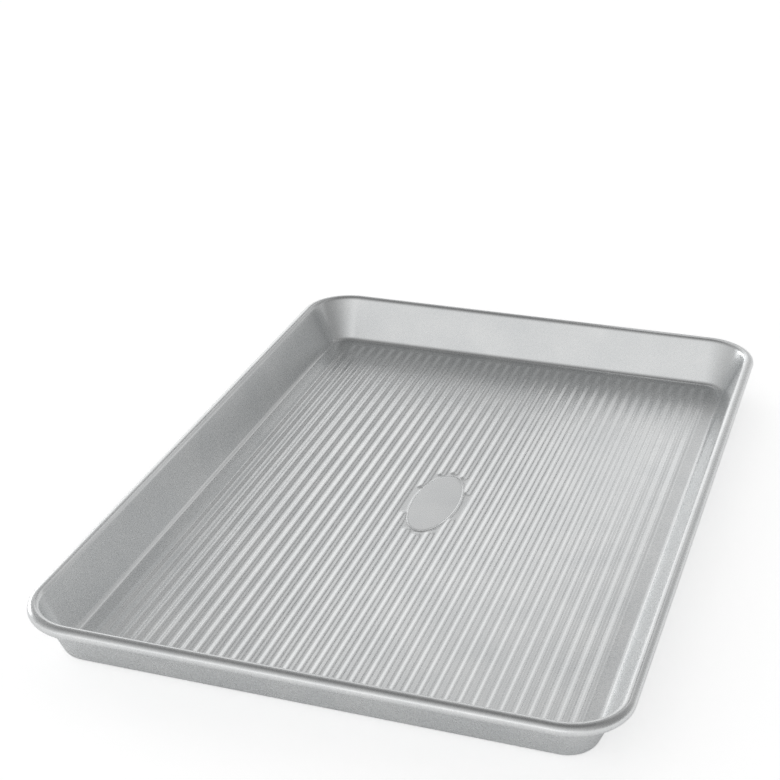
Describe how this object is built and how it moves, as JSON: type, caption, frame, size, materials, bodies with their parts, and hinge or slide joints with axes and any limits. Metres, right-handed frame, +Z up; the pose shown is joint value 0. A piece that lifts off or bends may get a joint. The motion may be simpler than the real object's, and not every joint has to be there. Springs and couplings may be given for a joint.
{
  "type": "jelly roll pan",
  "caption": "Shallow rectangular baking pan pressed from coated steel sheet, with flared walls, rounded corners, a ribbed floor and a rim curled round a wire.",
  "frame": {"origin": "middle of the pan's floor, on the plane that it rests on", "axes": "+Z up out of the open top, +Y along the long side and the ribs, +X along the short side"},
  "size_m": [0.267, 0.391, 0.025],
  "materials": {
    "aluminised_sheet": "satin silver coat with a fine grain",
    "rim_wire_steel": "drawn galvanised steel wire"
  },
  "bodies": {
    "root": {"pan_shell": "aluminised_sheet", "rim_wire": "rim_wire_steel"}
  },
  "joints": []
}
